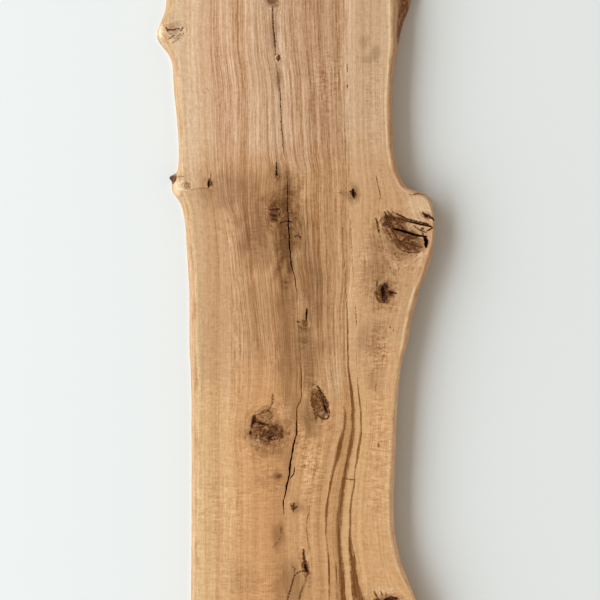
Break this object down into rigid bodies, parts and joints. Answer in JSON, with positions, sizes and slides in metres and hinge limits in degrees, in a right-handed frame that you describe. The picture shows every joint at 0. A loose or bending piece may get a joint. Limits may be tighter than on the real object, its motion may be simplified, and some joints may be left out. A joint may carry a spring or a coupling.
{
  "type": "oak slab board",
  "caption": "Live-edge oak slab: a long planed board with natural sapwood edges, drying cracks and open knots.",
  "frame": {"origin": "centre of the sawn back, where the board rests", "axes": "+X across the board, +Y along the grain to the head end, +Z out of the planed face"},
  "size_m": [0.42, 1.2, 0.045],
  "materials": {
    "oak": "sanded, matt, bare"
  },
  "bodies": {
    "root": {"slab": "oak"}
  },
  "joints": []
}
